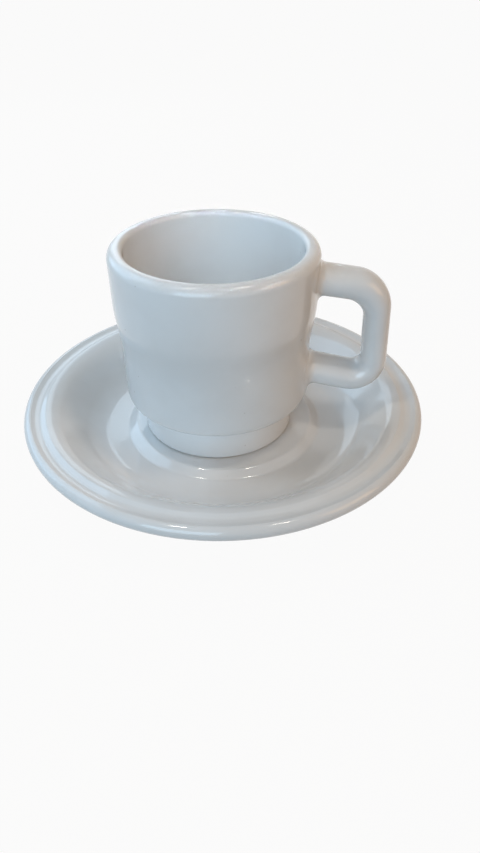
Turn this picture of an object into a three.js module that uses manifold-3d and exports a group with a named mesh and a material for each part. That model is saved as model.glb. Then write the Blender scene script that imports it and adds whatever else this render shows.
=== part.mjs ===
import * as THREE from 'three';
import { mergeVertices } from 'three/addons/utils/BufferGeometryUtils.js';
import Module from 'manifold-3d';

// A stacking coffee cup with a squared loop handle, standing on its saucer.
// Millimetres, +Z up. The saucer's axis is the Z axis and its foot ring stands on z = 0.

// Saucer: heights are above the table, radii from the saucer's axis
const saucerRadius = 75;
const saucerHeight = 20.9;
const rimWidth = 11.3;
const rimThickness = 5.2;
const rimEdgeRound = 2.5;
const grooveInset = 5.3;
const grooveWidth = 5.4;
const grooveDepth = 1;
const grooveRound = 4;
const grooveEdgeRound = 1.2;
const wallTopRound = 7.5;
const wallRun = 14.1;
const wallFootRound = 13;
const saucerWall = 4.8;
const moatHeight = 8;
const moatThickness = 4;
const seatRise = 2.25;
const seatSlopeWidth = 3.6;
const seatRound = 2.5;
const saucerFootRadius = 46.5;
const saucerFootWidth = 4.4;
const saucerFootDraft = 0.4;
const saucerFootRound = 0.8;
const saucerFootFillet = 1.2;

// Cup: heights are above the underside of its foot, radii from the cup's axis
const cupHeight = 69.8;
const upperWallRadius = 35.7;
const lipFlare = 0.2;
const lipThickness = 5.4;
const lipOutsideRound = 3.2;
const lipInsideRound = 1.8;
const wallStepDepth = 1.7;
const wallStepFoot = 37.4;
const wallStepLength = 10.5;
const wallStepRound = 50;
const lowerWallThickness = 4.2;
const shoulderRound = 3.6;
const insideFloorThickness = 5.4;
const insideFloorRound = 11;
const cupFootHeight = 12.9;
const cupFootInset = 5.6;
const cupFootWidth = 4;
const cupFootDraft = 0.3;
const cupFootRound = 0.9;
const cupFootFillet = 1.5;
const recessHeight = 9.6;
const recessRound = 2.5;

// Handle: a loop in the plane y = 0, given by its centreline between the wall and the upright
const handleWidth = 12.8;
const handleThickness = 9.4;
const uprightThickness = 8.9;
const handleRound = 3.9;
const upperBarBelowLip = 11.6;
const upperBarReach = 20.7;
const upperBarFall = 3.3;
const upperBendRadius = 9.6;
const lowerBarAboveFoot = 10.6;
const lowerBarReach = 23.6;
const lowerBarFall = 5.6;
const lowerBendRadius = 7.4;
const rootDepth = 3;
const rootFlare = 0.9;
const rootFlareLength = 2.6;

// Fits: the seat round the cup's foot, the gap under it, and the slip between handle and wall
const seatMargin = 5.4;
const seatClearance = 0.1;
const cupShift = -2.15;
const slipThickness = 0.3;

// Sizes that follow from those above
const wallTopRadius = saucerRadius - rimWidth;
const wallFootRadius = wallTopRadius - wallRun;
const seatHeight = moatHeight + seatRise;
const lipRadius = upperWallRadius + lipFlare;
const lowerWallRadius = upperWallRadius - wallStepDepth;
const cupFootRadius = lowerWallRadius - cupFootInset;
const seatRadius = cupFootRadius + seatMargin;
const insideFloorHeight = recessHeight + insideFloorThickness;

// Finish and fineness
const glazeColor = '#e4e3df';
const glazeRoughness = 0.12;
const saucerSegments = 64;
const cupSegments = 56;
const handleSteps = 60;
const handleCornerSegments = 2;
const arcTolerance = 0.1;
const mergeTolerance = 0.0001;

const wasm = await Module();
wasm.setup();

// A corner's two sides, how far it turns, and how far its arc reaches along each side
function cornerShape(corners, i) {
  const [x, y, round] = corners[i];
  const before = new THREE.Vector2(corners[i - 1][0] - x, corners[i - 1][1] - y);
  const after = new THREE.Vector2(corners[i + 1][0] - x, corners[i + 1][1] - y);
  const turn = Math.PI - before.angleTo(after);
  return { before, after, turn, reach: round * Math.tan(turn / 2) };
}

// An outline through corners [x, y, round], each but the ends rounded by an arc
function roundedOutline(corners) {
  const outline = [new THREE.Vector2(...corners[0])];
  for (let i = 1; i < corners.length - 1; i += 1) {
    const [x, y, round] = corners[i];
    const { before, after, turn, reach } = cornerShape(corners, i);
    const start = before.clone().setLength(reach);
    const side = Math.sign(after.cross(before));
    const centre = start.clone().add(new THREE.Vector2(start.y, -start.x).setLength(side * round));
    const startAngle = Math.atan2(start.y - centre.y, start.x - centre.x);
    const arc = new THREE.EllipseCurve(
      x + centre.x,
      y + centre.y,
      round,
      round,
      startAngle,
      startAngle + side * turn,
      side < 0,
    );
    const stepAngle = 2 * Math.acos(1 - arcTolerance / round);
    outline.push(...arc.getPoints(Math.ceil(turn / stepAngle)));
  }
  outline.push(new THREE.Vector2(...corners[corners.length - 1]));
  return outline;
}

// A turned solid about the Z axis from an outline of [radius, height, round] corners
function turned(corners, segments) {
  const geometry = new THREE.LatheGeometry(roundedOutline(corners), segments);
  return geometry.rotateX(Math.PI / 2);
}

// The saucer's section, from the axis along its underside, round the rim and back over the top
function saucerOutline() {
  const wallAngle = Math.atan2(saucerHeight - moatHeight, wallTopRadius - wallFootRadius);
  const underHeight = moatHeight - moatThickness;
  const rimUnderHeight = saucerHeight - rimThickness;
  const underRadius = (height) => {
    const drop = height - moatHeight + saucerWall / Math.cos(wallAngle);
    return wallFootRadius + drop / Math.tan(wallAngle);
  };
  const footInside = saucerFootRadius - saucerFootWidth;
  const grooveRadius = saucerRadius - grooveInset;
  const grooveOutside = grooveRadius + grooveWidth / 2;
  const grooveInside = grooveRadius - grooveWidth / 2;
  return [
    [0, underHeight],
    [footInside, underHeight, saucerFootFillet],
    [footInside + saucerFootDraft, 0, saucerFootRound],
    [saucerFootRadius - saucerFootDraft, 0, saucerFootRound],
    [saucerFootRadius, underHeight, saucerFootFillet],
    [underRadius(underHeight), underHeight, saucerWall],
    [underRadius(rimUnderHeight), rimUnderHeight, saucerWall],
    [saucerRadius, rimUnderHeight, rimEdgeRound],
    [saucerRadius, saucerHeight, rimEdgeRound],
    [grooveOutside, saucerHeight, grooveEdgeRound],
    [grooveRadius, saucerHeight - grooveDepth, grooveRound],
    [grooveInside, saucerHeight, grooveEdgeRound],
    [wallTopRadius, saucerHeight, wallTopRound],
    [wallFootRadius, moatHeight, wallFootRound],
    [seatRadius + seatSlopeWidth, moatHeight, seatRound],
    [seatRadius, seatHeight, seatRound],
    [0, seatHeight],
  ];
}

// The outside of the cup's wall from the shoulder to the lip, grown outwards by a gap
function cupWallCorners(gap) {
  return [
    [lowerWallRadius + gap, cupFootHeight, shoulderRound],
    [lowerWallRadius + gap, wallStepFoot, wallStepRound],
    [upperWallRadius + gap, wallStepFoot + wallStepLength, wallStepRound],
    [lipRadius + gap, cupHeight, lipOutsideRound],
  ];
}

// The cup body's section, from the recess under it, round the foot, up the wall and down the inside
function cupOutline() {
  const footInside = cupFootRadius - cupFootWidth;
  return [
    [0, recessHeight],
    [footInside, recessHeight, recessRound],
    [footInside + cupFootDraft, 0, cupFootRound],
    [cupFootRadius - cupFootDraft, 0, cupFootRound],
    [cupFootRadius, cupFootHeight, cupFootFillet],
    ...cupWallCorners(0),
    [lipRadius - lipThickness, cupHeight, lipInsideRound],
    [lowerWallRadius - lowerWallThickness, insideFloorHeight, insideFloorRound],
    [0, insideFloorHeight],
  ];
}

// The handle's rounded section: width across the loop, thickness in its plane
function handleSection() {
  const x = handleWidth / 2 - handleRound;
  const y = handleThickness / 2 - handleRound;
  const quarter = Math.PI / 2;
  const section = new THREE.Shape();
  section.absarc(x, y, handleRound, 0, quarter);
  section.absarc(-x, y, handleRound, quarter, 2 * quarter);
  section.absarc(-x, -y, handleRound, 2 * quarter, 3 * quarter);
  section.absarc(x, -y, handleRound, 3 * quarter, 4 * quarter);
  return section;
}

// The handle's two bars, each from inside the wall to its corner of the loop
function handleBars() {
  const upperHeight = cupHeight - upperBarBelowLip;
  const lowerHeight = cupFootHeight + lowerBarAboveFoot;
  return {
    upper: new THREE.Line3(
      new THREE.Vector3(upperWallRadius - rootDepth, 0, upperHeight),
      new THREE.Vector3(upperWallRadius + upperBarReach, 0, upperHeight - upperBarFall),
    ),
    lower: new THREE.Line3(
      new THREE.Vector3(lowerWallRadius - rootDepth, 0, lowerHeight),
      new THREE.Vector3(lowerWallRadius + lowerBarReach, 0, lowerHeight - lowerBarFall),
    ),
  };
}

// The point on the way from one point to another that lies a given distance from the first
function towards(from, to, distance) {
  return to.clone().sub(from).setLength(distance).add(from);
}

// A round bend at a corner, between the points where it leaves its two sides
function bend(from, corner, to, radius) {
  const turn = Math.PI - from.clone().sub(corner).angleTo(to.clone().sub(corner));
  const reach = radius * Math.tan(turn / 2);
  const pull = reach - (4 / 3) * radius * Math.tan(turn / 4);
  return new THREE.CubicBezierCurve3(
    towards(corner, from, reach),
    towards(corner, from, pull),
    towards(corner, to, pull),
    towards(corner, to, reach),
  );
}

// The loop's centreline: out along the upper bar, down the upright and back along the lower bar
function handleRoute({ upper, lower }) {
  const upperBend = bend(upper.start, upper.end, lower.end, upperBendRadius);
  const lowerBend = bend(upper.end, lower.end, lower.start, lowerBendRadius);
  const route = new THREE.CurvePath();
  route.add(new THREE.LineCurve3(upper.start, upperBend.v0));
  route.add(upperBend);
  route.add(new THREE.LineCurve3(upperBend.v3, lowerBend.v0));
  route.add(lowerBend);
  route.add(new THREE.LineCurve3(lowerBend.v3, lower.start));
  return route;
}

// The loop: a straight bar of the section, bent along the route and swollen towards its roots,
// where the slip is smoothed into a fillet
function handleLoop() {
  const route = handleRoute(handleBars());
  const length = route.getLength();
  const loop = new THREE.ExtrudeGeometry(handleSection(), {
    depth: 1,
    steps: handleSteps,
    curveSegments: handleCornerSegments,
    bevelEnabled: false,
  });
  const across = new THREE.Vector3(0, 1, 0);
  const position = loop.attributes.position;
  const point = new THREE.Vector3();
  for (let i = 0; i < position.count; i += 1) {
    point.fromBufferAttribute(position, i);
    const along = point.z;
    const tangent = route.getTangent(along);
    const outward = tangent.clone().cross(across);
    const fromWall = Math.min(along, 1 - along) * length - rootDepth;
    const swell = rootFlare * THREE.MathUtils.clamp(1 - fromWall / rootFlareLength, 0, 1) ** 2;
    const thickness = THREE.MathUtils.lerp(handleThickness, uprightThickness, tangent.z ** 2);
    const bent = route.getPoint(along);
    bent.addScaledVector(across, point.x * (1 + (2 * swell) / handleWidth));
    bent.addScaledVector(outward, (point.y * (thickness + 2 * swell)) / handleThickness);
    position.setXYZ(i, bent.x, bent.y, bent.z);
  }
  return loop;
}

// A solid for joining and cutting, with shared vertices merged and slivers on the axis dropped
function toSolid(geometry) {
  geometry.deleteAttribute('normal');
  geometry.deleteAttribute('uv');
  const merged = mergeVertices(geometry, mergeTolerance);
  const corners = merged.index.array;
  const kept = [];
  for (let i = 0; i < corners.length; i += 3) {
    const [a, b, c] = corners.slice(i, i + 3);
    if (a !== b && b !== c && c !== a) kept.push(a, b, c);
  }
  const vertProperties = merged.attributes.position.array;
  return new wasm.Manifold(new wasm.Mesh({ numProp: 3, vertProperties, triVerts: new Uint32Array(kept) }));
}

function fromSolid(solid) {
  const { vertProperties, triVerts } = solid.getMesh();
  const geometry = new THREE.BufferGeometry();
  geometry.setAttribute('position', new THREE.BufferAttribute(vertProperties, 3));
  geometry.setIndex(new THREE.BufferAttribute(triVerts, 1));
  geometry.computeVertexNormals();
  return geometry;
}

// The handle, its roots cut to the wall they are stuck to, less the slip between them
function handleGeometry() {
  const wall = [[0, cupFootHeight], ...cupWallCorners(slipThickness), [0, cupHeight]];
  return fromSolid(toSolid(handleLoop()).subtract(toSolid(turned(wall, cupSegments))));
}

function glazed(name, geometry) {
  const material = new THREE.MeshStandardMaterial({
    color: glazeColor,
    roughness: glazeRoughness,
    metalness: 0,
  });
  const mesh = new THREE.Mesh(geometry, material);
  mesh.name = name;
  return mesh;
}

// The cup stands on the seat, pushed a little off the saucer's axis
const cup = new THREE.Group();
cup.position.set(cupShift, 0, seatHeight + seatClearance);
cup.add(glazed('cup_body', turned(cupOutline(), cupSegments)));
cup.add(glazed('cup_handle', handleGeometry()));

const cupWithSaucer = new THREE.Group();
cupWithSaucer.add(glazed('saucer', turned(saucerOutline(), saucerSegments)));
cupWithSaucer.add(cup);

export default cupWithSaucer;
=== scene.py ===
import math

import bmesh
import bpy
from mathutils import Matrix, Vector
from mathutils.geometry import intersect_line_line


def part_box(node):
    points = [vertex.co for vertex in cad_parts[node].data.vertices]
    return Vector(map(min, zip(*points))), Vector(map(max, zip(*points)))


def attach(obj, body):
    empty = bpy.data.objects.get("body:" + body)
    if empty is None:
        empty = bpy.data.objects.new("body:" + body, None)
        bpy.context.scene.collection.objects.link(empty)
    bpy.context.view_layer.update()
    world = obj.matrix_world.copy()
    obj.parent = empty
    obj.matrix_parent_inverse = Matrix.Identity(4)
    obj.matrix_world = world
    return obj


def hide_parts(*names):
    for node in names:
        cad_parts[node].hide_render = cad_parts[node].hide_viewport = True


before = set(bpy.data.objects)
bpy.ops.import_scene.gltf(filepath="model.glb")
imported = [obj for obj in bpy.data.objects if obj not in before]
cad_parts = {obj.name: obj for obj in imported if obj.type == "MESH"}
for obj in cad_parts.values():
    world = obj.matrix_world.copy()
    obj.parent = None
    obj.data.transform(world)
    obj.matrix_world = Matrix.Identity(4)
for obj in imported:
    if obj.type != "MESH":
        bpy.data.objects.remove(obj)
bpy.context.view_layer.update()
mm = 0.001
mergeDistance = 0.001 * mm
print("frame loaded:", ", ".join(sorted(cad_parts)))


# how far a rounding reaches along the two sides of its corner
def cornerReach(before, corner, after, rounding):
    turn = (corner - before).angle(after - corner)
    return rounding * math.tan(turn / 2)


# a wire through corners (x, z, rounding), every corner between the ends bevelled to an arc
def roundedWire(bm, corners, arcSegments):
    verts = [bm.verts.new((x, 0, z)) for x, z, rounding in corners]
    for start, end in zip(verts, verts[1:]):
        bm.edges.new((start, end))
    places = [vert.co.copy() for vert in verts]
    for i in range(1, len(corners) - 1):
        reach = cornerReach(places[i - 1], places[i], places[i + 1], corners[i][2])
        bmesh.ops.bevel(
            bm, geom=[verts[i]], offset=reach, offset_type="OFFSET", affect="VERTICES",
            segments=arcSegments, profile=0.5, material=-1,
        )


# long straight stretches get loops so that the surface is even
def evenOut(bm, longest):
    for edge in bm.edges[:]:
        cuts = int(edge.calc_length() / longest)
        if cuts:
            bmesh.ops.subdivide_edges(bm, edges=[edge], cuts=cuts)


def finishedMesh(name, bm, materials):
    bmesh.ops.remove_doubles(bm, verts=bm.verts, dist=mergeDistance)
    bmesh.ops.recalc_face_normals(bm, faces=bm.faces)
    mesh = bpy.data.meshes.new(name)
    bm.to_mesh(mesh)
    bm.free()
    mesh.shade_smooth()
    for material in materials:
        mesh.materials.append(material)
    piece = bpy.data.objects.new(name, mesh)
    bpy.context.scene.collection.objects.link(piece)
    return piece


# a turned piece: its section is spun once round the axis that stands at axisX
def turnedPiece(name, corners, axisX, sizes, footTop, materials):
    bm = bmesh.new()
    roundedWire(bm, corners, sizes["arcSegments"])
    evenOut(bm, sizes["longest"])
    bmesh.ops.spin(
        bm, geom=bm.verts[:] + bm.edges[:], cent=(0, 0, 0), axis=(0, 0, 1), dvec=(0, 0, 0),
        angle=2 * math.pi, steps=sizes["spinSteps"], use_merge=True,
    )
    for face in bm.faces:
        if face.calc_center_median().z < footTop:
            face.material_index = 1  # the bare foot
    bmesh.ops.translate(bm, verts=bm.verts, vec=(axisX, 0, 0))
    return finishedMesh(name, bm, materials)


# links a socket to a slot, or sets the slot to a plain value
def feed(tree, value, slot):
    if hasattr(value, "links"):
        tree.links.new(value, slot)
    else:
        slot.default_value = value


def mathNode(tree, operation, first, second):
    node = tree.nodes.new("ShaderNodeMath")
    node.operation = operation
    feed(tree, first, node.inputs[0])
    feed(tree, second, node.inputs[1])
    return node.outputs[0]


def smoothRange(tree, value, fromMin, fromMax, toMin, toMax):
    node = tree.nodes.new("ShaderNodeMapRange")
    node.interpolation_type = "SMOOTHSTEP"
    tree.links.new(value, node.inputs["Value"])
    node.inputs["From Min"].default_value = fromMin
    node.inputs["From Max"].default_value = fromMax
    node.inputs["To Min"].default_value = toMin
    node.inputs["To Max"].default_value = toMax
    return node.outputs["Result"]


mixSlots = {"first": 6, "second": 7, "result": 2}  # where a Mix node keeps its colours


def mixColor(tree, factor, first, second):
    node = tree.nodes.new("ShaderNodeMix")
    node.data_type = "RGBA"
    tree.links.new(factor, node.inputs["Factor"])
    feed(tree, first, node.inputs[mixSlots["first"]])
    feed(tree, second, node.inputs[mixSlots["second"]])
    return node.outputs[mixSlots["result"]]


def noise(tree, coordinates, scale, detail):
    node = tree.nodes.new("ShaderNodeTexNoise")
    tree.links.new(coordinates, node.inputs["Vector"])
    node.inputs["Scale"].default_value = scale
    node.inputs["Detail"].default_value = detail
    return node.outputs["Fac"]


def newMaterial(name):
    material = bpy.data.materials.new(name)
    material.use_nodes = True
    tree = material.node_tree
    return material, tree, tree.nodes["Principled BSDF"]


def objectPlace(tree):
    return tree.nodes.new("ShaderNodeTexCoord").outputs["Object"]


def addBump(tree, shader, height, strength, distance):
    bump = tree.nodes.new("ShaderNodeBump")
    bump.inputs["Strength"].default_value = strength
    bump.inputs["Distance"].default_value = distance
    tree.links.new(height, bump.inputs["Height"])
    tree.links.new(bump.outputs["Normal"], shader.inputs["Normal"])


glazeLook = {
    "white": (0.78, 0.78, 0.775, 1),
    "cloud": (0.745, 0.74, 0.73, 1),  # where the glaze lies thicker
    "speck": (0.42, 0.38, 0.34, 1),
    "cloudScale": 38,
    "cloudDetail": 4,
    "cloudRange": (0.38, 0.68),
    "speckScale": 330,
    "speckEdge": (0.05, 0.11),
    "speckAbove": 0.93,  # only cells with a random value above this hold a pinhole
    "speckDepth": 0.4,
    "rippleScale": 60,
    "rippleDetail": 2,
    "rippleStrength": 0.01,
    "rippleHeight": 0.4 * mm,
    "roughness": 0.06,
    "dullRoughness": 0.10,
    "ior": 1.52,
}


# clouded glaze with a few dark pinholes, used by every glazed surface
def makeGlazeGroup():
    group = bpy.data.node_groups.new("glazeSurface", "ShaderNodeTree")
    sockets = group.interface
    sockets.new_socket(name="Coordinates", in_out="INPUT", socket_type="NodeSocketVector")
    for name in ("White", "Cloud", "Speck"):
        sockets.new_socket(name=name, in_out="INPUT", socket_type="NodeSocketColor")
    sockets.new_socket(name="Color", in_out="OUTPUT", socket_type="NodeSocketColor")
    for name in ("Roughness", "Height"):
        sockets.new_socket(name=name, in_out="OUTPUT", socket_type="NodeSocketFloat")
    inside = group.nodes.new("NodeGroupInput")
    outside = group.nodes.new("NodeGroupOutput")
    place = inside.outputs["Coordinates"]

    mottle = noise(group, place, glazeLook["cloudScale"], glazeLook["cloudDetail"])
    clouds = smoothRange(group, mottle, *glazeLook["cloudRange"], 0, 1)
    base = mixColor(group, clouds, inside.outputs["White"], inside.outputs["Cloud"])

    cells = group.nodes.new("ShaderNodeTexVoronoi")
    cells.inputs["Scale"].default_value = glazeLook["speckScale"]
    group.links.new(place, cells.inputs["Vector"])
    dot = smoothRange(group, cells.outputs["Distance"], *glazeLook["speckEdge"], 1, 0)
    pick = group.nodes.new("ShaderNodeSeparateColor")
    group.links.new(cells.outputs["Color"], pick.inputs["Color"])
    chosen = mathNode(group, "GREATER_THAN", pick.outputs["Red"], glazeLook["speckAbove"])
    strength = mathNode(group, "MULTIPLY", chosen, pick.outputs["Green"])
    specks = mathNode(group, "MULTIPLY", dot, strength)
    group.links.new(mixColor(group, specks, base, inside.outputs["Speck"]), outside.inputs["Color"])

    gloss = smoothRange(group, clouds, 0, 1, glazeLook["roughness"], glazeLook["dullRoughness"])
    group.links.new(gloss, outside.inputs["Roughness"])
    ripple = noise(group, place, glazeLook["rippleScale"], glazeLook["rippleDetail"])
    pits = mathNode(group, "MULTIPLY", specks, glazeLook["speckDepth"])
    group.links.new(mathNode(group, "SUBTRACT", ripple, pits), outside.inputs["Height"])
    return group


glazeGroup = makeGlazeGroup()


# glossy off-white glaze over the whole of a piece
def makeGlaze(name):
    material, tree, shader = newMaterial(name)
    surface = tree.nodes.new("ShaderNodeGroup")
    surface.node_tree = glazeGroup
    tree.links.new(objectPlace(tree), surface.inputs["Coordinates"])
    for key in ("white", "cloud", "speck"):
        surface.inputs[key.capitalize()].default_value = glazeLook[key]
    tree.links.new(surface.outputs["Color"], shader.inputs["Base Color"])
    tree.links.new(surface.outputs["Roughness"], shader.inputs["Roughness"])
    addBump(tree, shader, surface.outputs["Height"], glazeLook["rippleStrength"], glazeLook["rippleHeight"])
    shader.inputs["IOR"].default_value = glazeLook["ior"]
    return material


bareLook = {
    "clay": (0.56, 0.50, 0.42, 1),
    "dirt": (0.36, 0.31, 0.26, 1),
    "grainScale": 900,
    "grainDetail": 6,
    "dirtRange": (0.4, 0.75),
    "grainStrength": 0.35,
    "grainHeight": 0.1 * mm,
    "roughness": 0.75,
}


# the dry foot that the piece stands on in the kiln, wiped clean of glaze
def makeBareClay(name):
    material, tree, shader = newMaterial(name)
    grain = noise(tree, objectPlace(tree), bareLook["grainScale"], bareLook["grainDetail"])
    worn = smoothRange(tree, grain, *bareLook["dirtRange"], 0, 1)
    tree.links.new(mixColor(tree, worn, bareLook["clay"], bareLook["dirt"]), shader.inputs["Base Color"])
    addBump(tree, shader, grain, bareLook["grainStrength"], bareLook["grainHeight"])
    shader.inputs["Roughness"].default_value = bareLook["roughness"]
    return material


saucerGlaze = makeGlaze("saucerGlaze")
cupGlaze = makeGlaze("cupGlaze")
handleGlaze = makeGlaze("handleGlaze")
bareClay = makeBareClay("bareClay")
print("glazes ready")


saucerSizes = {
    "rimWidth": 11.3 * mm,
    "rimThickness": 5.2 * mm,
    "rimEdgeRound": 2.5 * mm,
    "grooveInset": 5.3 * mm,
    "grooveHalfWidth": 2.7 * mm,
    "grooveDepth": 1.0 * mm,
    "grooveRound": 4.0 * mm,
    "grooveEdgeRound": 1.2 * mm,
    "wallTopRound": 7.5 * mm,
    "wallRun": 14.1 * mm,
    "wallFootRound": 13.0 * mm,
    "wallThickness": 4.8 * mm,
    "moatHeight": 8.0 * mm,
    "moatThickness": 4.0 * mm,
    "seatRise": 2.25 * mm,
    "seatRadius": 33.8 * mm,
    "seatSlope": 3.6 * mm,
    "seatRound": 2.5 * mm,
    "footRadius": 46.5 * mm,
    "footWidth": 4.4 * mm,
    "footDraft": 0.4 * mm,
    "footRound": 0.8 * mm,
    "footFillet": 1.2 * mm,
    "bareHeight": 0.5 * mm,
    "spinSteps": 320,
    "arcSegments": 10,
    "longest": 4 * mm,
}


def makeSaucer():
    s = saucerSizes
    low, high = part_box("saucer")
    edge, top = high.x, high.z
    wallTop = edge - s["rimWidth"]
    wallFoot = wallTop - s["wallRun"]
    slope = math.atan2(top - s["moatHeight"], s["wallRun"])
    under = s["moatHeight"] - s["moatThickness"]
    rimUnder = top - s["rimThickness"]
    footInside = s["footRadius"] - s["footWidth"]
    groove = edge - s["grooveInset"]

    # the wall's underside runs along its inside, a wall's thickness away
    def underRadius(height):
        drop = height - s["moatHeight"] + s["wallThickness"] / math.cos(slope)
        return wallFoot + drop / math.tan(slope)

    corners = [
        (0, under, 0),
        (footInside, under, s["footFillet"]),
        (footInside + s["footDraft"], low.z, s["footRound"]),
        (s["footRadius"] - s["footDraft"], low.z, s["footRound"]),
        (s["footRadius"], under, s["footFillet"]),
        (underRadius(under), under, s["wallThickness"]),
        (underRadius(rimUnder), rimUnder, s["wallThickness"]),
        (edge, rimUnder, s["rimEdgeRound"]),
        (edge, top, s["rimEdgeRound"]),
        (groove + s["grooveHalfWidth"], top, s["grooveEdgeRound"]),
        (groove, top - s["grooveDepth"], s["grooveRound"]),
        (groove - s["grooveHalfWidth"], top, s["grooveEdgeRound"]),
        (wallTop, top, s["wallTopRound"]),
        (wallFoot, s["moatHeight"], s["wallFootRound"]),
        (s["seatRadius"] + s["seatSlope"], s["moatHeight"], s["seatRound"]),
        (s["seatRadius"], s["moatHeight"] + s["seatRise"], s["seatRound"]),
        (0, s["moatHeight"] + s["seatRise"], 0),
    ]
    footTop = low.z + s["bareHeight"]
    saucer = turnedPiece("saucerDish", corners, 0, s, footTop, [saucerGlaze, bareClay])
    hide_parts("saucer")
    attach(saucer, "saucer")
    print("saucer turned:", len(saucer.data.polygons), "faces")


cupSizes = {
    "lipFlare": 0.2 * mm,
    "lipThickness": 5.4 * mm,
    "lipOutsideRound": 3.2 * mm,
    "lipInsideRound": 1.8 * mm,
    "stepDepth": 1.7 * mm,
    "stepFoot": 37.4 * mm,
    "stepLength": 10.5 * mm,
    "stepRound": 50.0 * mm,
    "lowerWallThickness": 4.2 * mm,
    "shoulderRound": 3.6 * mm,
    "floorHeight": 15.0 * mm,
    "floorRound": 11.0 * mm,
    "footHeight": 12.9 * mm,
    "footInset": 5.6 * mm,
    "footWidth": 4.0 * mm,
    "footDraft": 0.3 * mm,
    "footRound": 0.9 * mm,
    "footFillet": 1.5 * mm,
    "recessHeight": 9.6 * mm,
    "recessRound": 2.5 * mm,
    "bareHeight": 0.5 * mm,
    "spinSteps": 256,
    "arcSegments": 10,
    "longest": 3 * mm,
}

# the handle and the lamps go by these too
cupLow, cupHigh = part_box("cup_body")
cupAxis = (cupLow.x + cupHigh.x) / 2
lipRadius = (cupHigh.y - cupLow.y) / 2
lipInside = lipRadius - cupSizes["lipThickness"]
upperWall = lipRadius - cupSizes["lipFlare"]
lowerWall = upperWall - cupSizes["stepDepth"]


def makeCup():
    c = cupSizes
    base, top = cupLow.z, cupHigh.z
    foot = lowerWall - c["footInset"]
    footInside = foot - c["footWidth"]
    corners = [
        (0, base + c["recessHeight"], 0),
        (footInside, base + c["recessHeight"], c["recessRound"]),
        (footInside + c["footDraft"], base, c["footRound"]),
        (foot - c["footDraft"], base, c["footRound"]),
        (foot, base + c["footHeight"], c["footFillet"]),
        (lowerWall, base + c["footHeight"], c["shoulderRound"]),
        (lowerWall, base + c["stepFoot"], c["stepRound"]),
        (upperWall, base + c["stepFoot"] + c["stepLength"], c["stepRound"]),
        (lipRadius, top, c["lipOutsideRound"]),
        (lipInside, top, c["lipInsideRound"]),
        (lowerWall - c["lowerWallThickness"], base + c["floorHeight"], c["floorRound"]),
        (0, base + c["floorHeight"], 0),
    ]
    footTop = base + c["bareHeight"]
    cup = turnedPiece("cupBody", corners, cupAxis, c, footTop, [cupGlaze, bareClay])
    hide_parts("cup_body")
    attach(cup, "cup")
    print("cup turned:", len(cup.data.polygons), "faces")


handleSizes = {
    "width": 13.8 * mm,
    "thickness": 10.5 * mm,
    "uprightThickness": 9.3 * mm,
    "roundedShare": 0.92,  # of the section's half width and half thickness
    "upperBelowLip": 11.6 * mm,
    "upperReach": 20.7 * mm,
    "upperFall": 3.3 * mm,
    "lowerAboveFoot": 10.4 * mm,
    "lowerReach": 24.1 * mm,
    "lowerFall": 5.6 * mm,
    "rootDepth": 3.0 * mm,
    "outerBends": (14.0 * mm, 13.2 * mm),  # the upper one, then the lower one
    "innerBends": (8.0 * mm, 3.2 * mm),
    "upperFillet": 2.2 * mm,
    "lowerFillet": 2.8 * mm,
    "filletMargin": 1.2 * mm,
    "sideFlare": 1.4,  # how many times more the roots swell in width than in thickness
    "skirt": 0.9 * mm,
    "skirtSink": 0.12 * mm,
    "bendSegments": 16,
    "cornerSegments": 8,
    "filletSteps": 7,
    "straightCuts": 12,
    "seatTries": 5,
}


# the outside of the cup's wall at a height
def wallRadius(height):
    stepFoot = cupLow.z + cupSizes["stepFoot"]
    stepTop = stepFoot + cupSizes["stepLength"]
    if height < stepTop:
        share = max(0, (height - stepFoot) / cupSizes["stepLength"])
        return lowerWall + share * cupSizes["stepDepth"]
    return upperWall + cupSizes["lipFlare"] * (height - stepTop) / (cupHigh.z - stepTop)


# a wire's points in turn, from its higher end
def wirePoints(bm):
    ends = [vert for vert in bm.verts if len(vert.link_edges) == 1]
    line = [max(ends, key=lambda vert: vert.co.z)]
    while len(line) < len(bm.verts):
        ahead = [edge.other_vert(line[-1]) for edge in line[-1].link_edges]
        line.append(next(vert for vert in ahead if vert not in line))
    return [vert.co.copy() for vert in line]


# the loop's outline on its outer side (1) or its inner side (-1), from the upper root to the lower one
def loopOutline(side, bends):
    h = handleSizes
    upper = cupHigh.z - h["upperBelowLip"]
    lower = cupLow.z + cupSizes["footHeight"] + h["lowerAboveFoot"]
    middle = [
        Vector((upperWall - h["rootDepth"], 0, upper)),
        Vector((upperWall + h["upperReach"], 0, upper - h["upperFall"])),
        Vector((lowerWall + h["lowerReach"], 0, lower - h["lowerFall"])),
        Vector((lowerWall - h["rootDepth"], 0, lower)),
    ]
    thicknesses = (h["thickness"], h["uprightThickness"], h["thickness"])
    sides = []
    for start, end, thickness in zip(middle, middle[1:], thicknesses):
        aside = (end - start).normalized().cross(Vector((0, 1, 0))) * side * thickness / 2
        sides.append((start + aside, end + aside))
    bent = [intersect_line_line(*first, *second)[0] for first, second in zip(sides, sides[1:])]
    corners = [sides[0][0], *bent, sides[-1][1]]
    bm = bmesh.new()
    roundedWire(bm, [(at.x, at.z, bend) for at, bend in zip(corners, (0, *bends, 0))], h["bendSegments"])
    straight = sorted(bm.edges, key=lambda edge: edge.calc_length())[-len(sides):]
    bmesh.ops.subdivide_edges(bm, edges=straight, cuts=h["straightCuts"])
    points = wirePoints(bm)
    bm.free()
    return points


# where the loop's section goes: its width across, its thickness from the inner to the outer outline
def sectionPlace(inner, outer, swell):
    h = handleSizes
    across = Vector((0, h["width"] / 2 + swell * h["sideFlare"], 0))
    outward = (outer - inner) / 2
    outward += outward.normalized() * swell
    along = across.cross(outward).normalized()
    place = Matrix((across, outward, along)).transposed().to_4x4()
    place.translation = (inner + outer) / 2
    return place


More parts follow.
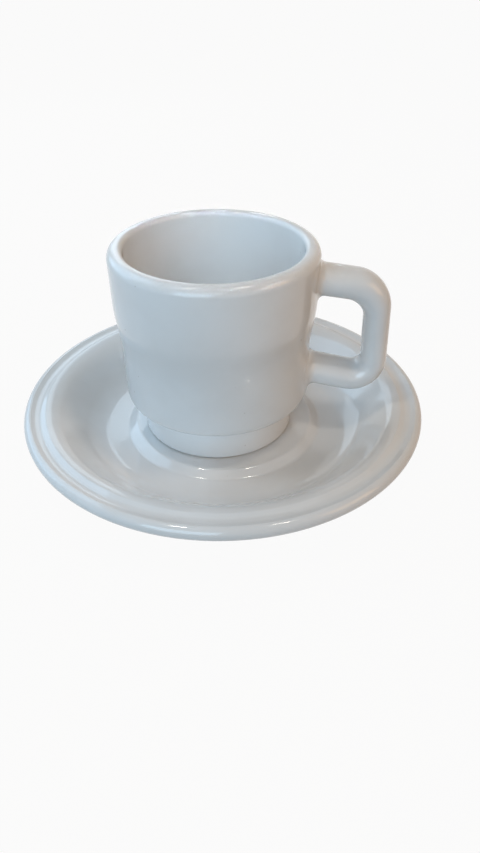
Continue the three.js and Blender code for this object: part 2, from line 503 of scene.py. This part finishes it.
# slides a ring along its bar until every point of it stands the gap away from the wall
def seatRing(verts, tangent, gap):
    for vert in verts:
        for attempt in range(handleSizes["seatTries"]):
            reach = math.sqrt((wallRadius(vert.co.z) + gap) ** 2 - vert.co.y ** 2)
            vert.co += tangent * (reach - vert.co.x) / tangent.x


# half of the loop from its root on: each ring's two outline points, its swell, its bar's way and its gap
# to the wall, which is None once the ring is past the root
def halfLoop(bar, fillet):
    h = handleSizes
    first, second = [(inner + outer) / 2 for inner, outer in bar[:2]]
    tangent = (second - first).normalized()
    rings = [(bar[0], fillet + h["skirt"], tangent, -h["skirtSink"])]
    for i in range(h["filletSteps"] + 1):
        angle = math.pi / 2 * (1 - i / h["filletSteps"])
        away = fillet * (1 - math.sin(angle))
        rings.append((bar[0], fillet * (1 - math.cos(angle)), tangent, away))
    clear = fillet + h["filletMargin"]
    rings += [(pair, 0, tangent, None) for pair in bar if pair[0].x - wallRadius(pair[0].z) > clear]
    return rings


# a square from -1 to 1 with its corners rounded, as a ring of edges
def sectionRing(bm):
    h = handleSizes
    square = bmesh.ops.create_grid(bm, x_segments=1, y_segments=1, size=1)["verts"]
    bmesh.ops.bevel(
        bm, geom=square, offset=h["roundedShare"], offset_type="OFFSET", affect="VERTICES",
        segments=h["cornerSegments"], profile=0.5, material=-1,
    )
    bmesh.ops.delete(bm, geom=bm.faces[:], context="FACES_ONLY")
    return bm.edges[:]


def makeHandle():
    h = handleSizes
    route = list(zip(loopOutline(-1, h["innerBends"]), loopOutline(1, h["outerBends"])))
    half = len(route) // 2
    upperRings = halfLoop(route[:half], h["upperFillet"])
    lowerRings = halfLoop(route[:half - 1:-1], h["lowerFillet"])  # walked from the lower root

    bm = bmesh.new()
    ring = sectionRing(bm)
    lastPlace = Matrix.Identity(4)
    seats = []
    for pair, swell, tangent, gap in upperRings + lowerRings[::-1]:
        if seats:
            made = bmesh.ops.extrude_edge_only(bm, edges=ring)["geom"]
            ring = [item for item in made if isinstance(item, bmesh.types.BMEdge)]
        verts = list({vert for edge in ring for vert in edge.verts})
        place = sectionPlace(*pair, swell)
        bmesh.ops.transform(bm, matrix=place @ lastPlace.inverted(), verts=verts)
        lastPlace = place
        seats.append((verts, tangent, gap))
    for verts, tangent, gap in seats:
        if gap is not None:
            seatRing(verts, tangent, gap)
    bmesh.ops.translate(bm, verts=bm.verts, vec=(cupAxis, 0, 0))
    bmesh.ops.holes_fill(bm, edges=[edge for edge in bm.edges if edge.is_boundary], sides=0)
    handle = finishedMesh("cupHandle", bm, [handleGlaze])
    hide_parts("cup_handle")
    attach(handle, "cup")
    print("handle drawn:", len(handle.data.polygons), "faces")


makeSaucer()
makeCup()
makeHandle()


cameraPlan = {
    "lens": 28,
    "eye": (13.74 * mm, -212.6 * mm, 163.9 * mm),
    "down": 36.95,  # degrees, as the next two
    "turn": 2.0,
    "roll": -0.18,
    "nearest": 1 * mm,
}


def makeCamera():
    camera = bpy.data.cameras.new("photoCamera")
    camera.lens = cameraPlan["lens"]
    camera.clip_start = cameraPlan["nearest"]
    seen = bpy.data.objects.new("photoCamera", camera)
    bpy.context.scene.collection.objects.link(seen)
    turn = Matrix.Rotation(math.radians(cameraPlan["turn"]), 4, "Z")
    tilt = Matrix.Rotation(math.radians(90 - cameraPlan["down"]), 4, "X")
    roll = Matrix.Rotation(math.radians(cameraPlan["roll"]), 4, "Z")
    seen.matrix_world = Matrix.Translation(cameraPlan["eye"]) @ turn @ tilt @ roll
    bpy.context.scene.camera = seen


stageLook = {
    "floorSize": 3,  # metres, from the middle to an edge
    "white": (1, 1, 1, 1),
    "floorColor": (0.36, 0.30, 0.25, 1),
    "floorRoughness": 0.8,
    "whiteShare": 0.95,  # the rest keeps the shadow on the floor
    "worldColor": (1.0, 0.78, 0.52, 1),
    "worldStrength": 0.10,
}


# what the camera and mirror-like surfaces see is white, what lights the piece is the plain colour
def seenDirectly(tree):
    path = tree.nodes.new("ShaderNodeLightPath")
    direct = mathNode(tree, "MAXIMUM", path.outputs["Is Camera Ray"], path.outputs["Is Glossy Ray"])
    return mathNode(tree, "MAXIMUM", direct, path.outputs["Is Transmission Ray"])


def makeFloor():
    material, tree, shader = newMaterial("paleFloor")
    shader.inputs["Base Color"].default_value = stageLook["floorColor"]
    shader.inputs["Roughness"].default_value = stageLook["floorRoughness"]
    glow = tree.nodes.new("ShaderNodeEmission")
    glow.inputs["Color"].default_value = stageLook["white"]
    blend = tree.nodes.new("ShaderNodeMixShader")
    share = mathNode(tree, "MULTIPLY", seenDirectly(tree), stageLook["whiteShare"])
    tree.links.new(share, blend.inputs["Fac"])
    tree.links.new(shader.outputs["BSDF"], blend.inputs[1])
    tree.links.new(glow.outputs["Emission"], blend.inputs[2])
    tree.links.new(blend.outputs["Shader"], tree.nodes["Material Output"].inputs["Surface"])
    bm = bmesh.new()
    bmesh.ops.create_grid(bm, x_segments=1, y_segments=1, size=stageLook["floorSize"])
    floor = finishedMesh("paleFloor", bm, [material])


def makeWorld():
    world = bpy.data.worlds.new("studio")
    world.use_nodes = True
    bpy.context.scene.world = world
    sky = world.node_tree
    soft = sky.nodes["Background"]
    soft.inputs["Color"].default_value = stageLook["worldColor"]
    soft.inputs["Strength"].default_value = stageLook["worldStrength"]
    white = sky.nodes.new("ShaderNodeBackground")
    white.inputs["Color"].default_value = stageLook["white"]
    choose = sky.nodes.new("ShaderNodeMixShader")
    sky.links.new(seenDirectly(sky), choose.inputs["Fac"])
    sky.links.new(soft.outputs["Background"], choose.inputs[1])
    sky.links.new(white.outputs["Background"], choose.inputs[2])
    sky.links.new(choose.outputs["Shader"], sky.nodes["World Output"].inputs["Surface"])


# each lamp faces the cup from a turn from +X and a height above the floor, both in degrees
# away and size are in metres, power is in watts
lampPlans = {
    "windowFront": {
        "turn": 252, "height": 19, "away": 0.7, "shape": "SQUARE", "size": 0.45, "power": 2.55,
        "color": (0.55, 0.79, 1.0),
    },
    "windowLeft": {
        "turn": 156, "height": 32, "away": 0.7, "shape": "SQUARE", "size": 0.62, "power": 2.55,
        "color": (0.48, 0.74, 1.0),
    },
    "windowBack": {
        "turn": 110, "height": 24, "away": 0.7, "shape": "SQUARE", "size": 0.28, "power": 0.45,
        "color": (0.70, 0.86, 1.0),
    },
    "warmRight": {
        "turn": 340, "height": 26, "away": 0.7, "shape": "SQUARE", "size": 0.35, "power": 0.9,
        "color": (1.0, 0.58, 0.26),
    },
    "ceilingLeft": {
        "turn": 196, "height": 76, "away": 0.6, "shape": "DISK", "size": 0.07, "power": 0.42,
        "color": (1.0, 0.95, 0.88),
    },
    "ceilingRight": {
        "turn": 344, "height": 73, "away": 0.6, "shape": "DISK", "size": 0.07, "power": 0.42,
        "color": (1.0, 0.92, 0.82),
    },
}

# a narrow beam over the front of the lip, down onto the far wall inside the cup
insideFill = {
    "turn": 268, "height": 46, "away": 0.6, "shape": "DISK", "size": 0.04, "power": 0.0036,
    "color": (0.70, 0.86, 1.0),
    "spread": 8,  # degrees
    "depth": 20 * mm,  # below the lip
}


def placeLamp(name, plan, target):
    lamp = bpy.data.lights.new(name, "AREA")
    lamp.shape = plan["shape"]
    lamp.size = plan["size"]
    lamp.energy = plan["power"]
    lamp.color = plan["color"]
    turn = math.radians(plan["turn"])
    height = math.radians(plan["height"])
    level = math.cos(height)
    outward = Vector((level * math.cos(turn), level * math.sin(turn), math.sin(height)))
    placed = bpy.data.objects.new(name, lamp)
    bpy.context.scene.collection.objects.link(placed)
    placed.location = target + outward * plan["away"]
    placed.rotation_euler = (-outward).to_track_quat("-Z", "Y").to_euler()
    placed.visible_camera = False
    return lamp


def makeLights():
    middle = Vector((cupAxis, 0, (cupLow.z + cupHigh.z) / 2))
    for name, plan in lampPlans.items():
        placeLamp(name, plan, middle)
    farWall = Vector((cupAxis, lipInside, cupHigh.z - insideFill["depth"]))
    beam = placeLamp("insideFill", insideFill, farWall)
    beam.spread = math.radians(insideFill["spread"])


makeCamera()
makeFloor()
makeWorld()
makeLights()
bpy.context.scene.view_settings.view_transform = "Standard"
print("stage, lights and camera set")
